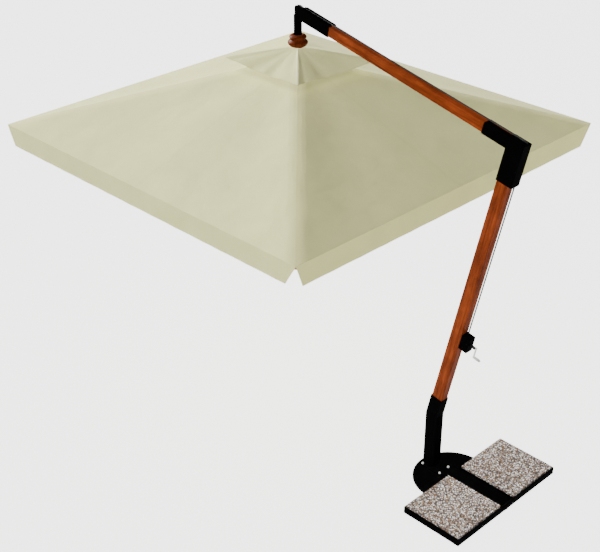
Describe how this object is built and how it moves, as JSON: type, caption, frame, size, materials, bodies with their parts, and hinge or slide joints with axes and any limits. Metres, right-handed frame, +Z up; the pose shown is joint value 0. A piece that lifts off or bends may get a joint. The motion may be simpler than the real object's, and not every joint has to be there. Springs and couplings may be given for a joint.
{
  "type": "cantilever parasol",
  "caption": "Square canopy hung from a leaning mast and rising arm, with folding ribs on a sliding runner, a rope winch and a swivelling foot on a slab-weighted base.",
  "frame": {"origin": "on the floor, on the vertical axis the mast swivels about", "axes": "+X from the canopy towards the slabs, +Y to the left-hand slab, +Z up; mast, arm and centre pole lie in the plane y = 0"},
  "size_m": [3.612, 3, 3.2309],
  "materials": {
    "black_metal": "satin black powder coat",
    "zinc": "zinc plated",
    "hardwood": "oiled red-brown hardwood",
    "canvas": "woven ecru canopy cloth",
    "aggregate": "exposed aggregate",
    "black_plastic": "moulded, matte",
    "grey_plastic": "moulded, matte",
    "rope": "braided cord"
  },
  "bodies": {
    "base": {"ground_disc": "black_metal", "foot_plate": "black_metal", "foot_bolt_1": "zinc", "foot_bolt_2": "zinc", "foot_bolt_3": "zinc", "foot_bolt_4": "zinc", "swivel_spigot": "black_metal", "base_spine": "black_metal", "tray_left": "black_metal", "tray_right": "black_metal", "slab_left": "aggregate", "slab_right": "aggregate"},
    "mast": {"foot_bracket": "black_metal", "swivel_bush": "black_plastic", "mast": "hardwood", "elbow_bracket": "black_metal", "elbow_pin": "zinc", "arm": "hardwood", "head_bracket": "black_metal", "head_pin": "zinc", "centre_pole": "black_metal", "finial": "hardwood", "crown_hub": "black_plastic", "pole_cap": "hardwood", "rope": "rope", "winch_housing": "black_metal"},
    "rib_2": {"rib_2": "hardwood", "canopy_gore_2": "canvas", "vent_cap_1": "canvas"},
    "strut_2": {"strut_2": "hardwood"},
    "rib_1": {"rib_1": "hardwood", "canopy_gore_1": "canvas"},
    "strut_1": {"strut_1": "hardwood"},
    "rib_3": {"rib_3": "hardwood", "canopy_gore_3": "canvas"},
    "strut_3": {"strut_3": "hardwood"},
    "rib_4": {"rib_4": "hardwood", "canopy_gore_4": "canvas", "vent_cap_2": "canvas"},
    "strut_4": {"strut_4": "hardwood"},
    "rib_5": {"rib_5": "hardwood", "canopy_gore_5": "canvas"},
    "strut_5": {"strut_5": "hardwood"},
    "rib_6": {"rib_6": "hardwood", "canopy_gore_6": "canvas", "vent_cap_3": "canvas"},
    "strut_6": {"strut_6": "hardwood"},
    "rib_7": {"rib_7": "hardwood", "canopy_gore_7": "canvas"},
    "strut_7": {"strut_7": "hardwood"},
    "rib_8": {"rib_8": "hardwood", "canopy_gore_8": "canvas", "vent_cap_4": "canvas"},
    "strut_8": {"strut_8": "hardwood"},
    "runner": {"runner": "black_plastic"},
    "elbow_pulley": {"elbow_pulley": "black_plastic"},
    "head_pulley": {"head_pulley": "black_plastic"},
    "winch": {"winch_drum": "black_plastic", "crank": "zinc"},
    "crank_grip": {"crank_grip": "grey_plastic"}
  },
  "joints": [
    {"name": "mast_swivel", "type": "hinge", "parent": "base", "child": "mast", "pos_m": [0, 0, 0], "axis": [0, 0, 1], "continuous": true},
    {"name": "canopy_fold", "type": "hinge", "parent": "mast", "child": "rib_2", "pos_m": [-1.37697, 0.03253, 2.80493], "axis": [-0.7071, 0.7071, 0], "range_deg": [0, 72.28], "deforming": ["canopy_gore_2", "vent_cap_1"]},
    {"name": "strut_2_fold", "type": "hinge", "parent": "rib_2", "child": "strut_2", "pos_m": [-0.90622, 0.50328, 2.64236], "axis": [0.7071, -0.7071, 0], "range_deg": [0, 134.31]},
    {"name": "rib_1_fold", "type": "hinge", "parent": "mast", "child": "rib_1", "pos_m": [-1.3635, 0, 2.80493], "axis": [0, 1, 0], "range_deg": [0, 66.96], "deforming": ["canopy_gore_1"]},
    {"name": "strut_1_fold", "type": "hinge", "parent": "rib_1", "child": "strut_1", "pos_m": [-0.6945, 0, 2.5739], "axis": [0, -1, 0], "range_deg": [0, 133.91]},
    {"name": "rib_3_fold", "type": "hinge", "parent": "mast", "child": "rib_3", "pos_m": [-1.4095, 0.046, 2.80493], "axis": [-1, 0, 0], "range_deg": [0, 66.96], "deforming": ["canopy_gore_3"]},
    {"name": "strut_3_fold", "type": "hinge", "parent": "rib_3", "child": "strut_3", "pos_m": [-1.4095, 0.715, 2.5739], "axis": [1, 0, 0], "range_deg": [0, 133.91]},
    {"name": "rib_4_fold", "type": "hinge", "parent": "mast", "child": "rib_4", "pos_m": [-1.44203, 0.03253, 2.80493], "axis": [-0.7071, -0.7071, 0], "range_deg": [0, 72.29], "deforming": ["canopy_gore_4", "vent_cap_2"]},
    {"name": "strut_4_fold", "type": "hinge", "parent": "rib_4", "child": "strut_4", "pos_m": [-1.91278, 0.50328, 2.64236], "axis": [0.7071, 0.7071, 0], "range_deg": [0, 134.31]},
    {"name": "rib_5_fold", "type": "hinge", "parent": "mast", "child": "rib_5", "pos_m": [-1.4555, 0, 2.80493], "axis": [0, -1, 0], "range_deg": [0, 66.96], "deforming": ["canopy_gore_5"]},
    {"name": "strut_5_fold", "type": "hinge", "parent": "rib_5", "child": "strut_5", "pos_m": [-2.1245, 0, 2.5739], "axis": [0, 1, 0], "range_deg": [0, 133.91]},
    {"name": "rib_6_fold", "type": "hinge", "parent": "mast", "child": "rib_6", "pos_m": [-1.44203, -0.03253, 2.80493], "axis": [0.7071, -0.7071, 0], "range_deg": [0, 72.29], "deforming": ["canopy_gore_6", "vent_cap_3"]},
    {"name": "strut_6_fold", "type": "hinge", "parent": "rib_6", "child": "strut_6", "pos_m": [-1.91278, -0.50328, 2.64236], "axis": [-0.7071, 0.7071, 0], "range_deg": [0, 134.31]},
    {"name": "rib_7_fold", "type": "hinge", "parent": "mast", "child": "rib_7", "pos_m": [-1.4095, -0.046, 2.80493], "axis": [1, 0, 0], "range_deg": [0, 66.96], "deforming": ["canopy_gore_7"]},
    {"name": "strut_7_fold", "type": "hinge", "parent": "rib_7", "child": "strut_7", "pos_m": [-1.4095, -0.715, 2.5739], "axis": [-1, 0, 0], "range_deg": [0, 133.91]},
    {"name": "rib_8_fold", "type": "hinge", "parent": "mast", "child": "rib_8", "pos_m": [-1.37697, -0.03253, 2.80493], "axis": [0.7071, 0.7071, 0], "range_deg": [0, 72.29], "deforming": ["canopy_gore_8", "vent_cap_4"]},
    {"name": "strut_8_fold", "type": "hinge", "parent": "rib_8", "child": "strut_8", "pos_m": [-0.90622, -0.50328, 2.64236], "axis": [-0.7071, -0.7071, 0], "range_deg": [0, 134.31]},
    {"name": "runner_slide", "type": "slide", "parent": "mast", "child": "runner", "axis": [0, 0, -1], "range_m": [0, 0.9505]},
    {"name": "elbow_pulley_turn", "type": "hinge", "parent": "mast", "child": "elbow_pulley", "pos_m": [0.52756, 0.025, 2.76817], "axis": [0, -1, 0], "range_deg": [0, 2269]},
    {"name": "head_pulley_turn", "type": "hinge", "parent": "mast", "child": "head_pulley", "pos_m": [-1.3935, 0, 3.21036], "axis": [0, -1, 0], "range_deg": [0, 3403]},
    {"name": "winch_crank", "type": "hinge", "parent": "mast", "child": "winch", "pos_m": [0.15871, 0, 1.22304], "axis": [0.9774, 0, -0.2113], "range_deg": [0, 2178]},
    {"name": "grip_spin", "type": "hinge", "parent": "winch", "child": "crank_grip", "pos_m": [0.2901, 0, 1.12097], "axis": [0.9774, 0, -0.2113], "continuous": true}
  ],
  "couplings": [
    {"joint": "strut_2_fold", "follows": "canopy_fold", "ratio": 1.8581},
    {"joint": "rib_1_fold", "follows": "canopy_fold", "ratio": 0.92627},
    {"joint": "strut_1_fold", "follows": "canopy_fold", "ratio": 1.8525},
    {"joint": "rib_3_fold", "follows": "canopy_fold", "ratio": 0.92627},
    {"joint": "strut_3_fold", "follows": "canopy_fold", "ratio": 1.8525},
    {"joint": "rib_4_fold", "follows": "canopy_fold", "ratio": 1},
    {"joint": "strut_4_fold", "follows": "canopy_fold", "ratio": 1.8581},
    {"joint": "rib_5_fold", "follows": "canopy_fold", "ratio": 0.92627},
    {"joint": "strut_5_fold", "follows": "canopy_fold", "ratio": 1.8525},
    {"joint": "rib_6_fold", "follows": "canopy_fold", "ratio": 1},
    {"joint": "strut_6_fold", "follows": "canopy_fold", "ratio": 1.8581},
    {"joint": "rib_7_fold", "follows": "canopy_fold", "ratio": 0.92627},
    {"joint": "strut_7_fold", "follows": "canopy_fold", "ratio": 1.8525},
    {"joint": "rib_8_fold", "follows": "canopy_fold", "ratio": 1},
    {"joint": "strut_8_fold", "follows": "canopy_fold", "ratio": 1.8581},
    {"joint": "runner_slide", "follows": "canopy_fold", "m_per_rad": 0.75311},
    {"joint": "elbow_pulley_turn", "follows": "canopy_fold", "ratio": 31.379},
    {"joint": "head_pulley_turn", "follows": "canopy_fold", "ratio": 47.069},
    {"joint": "winch_crank", "follows": "canopy_fold", "ratio": 30.124}
  ]
}
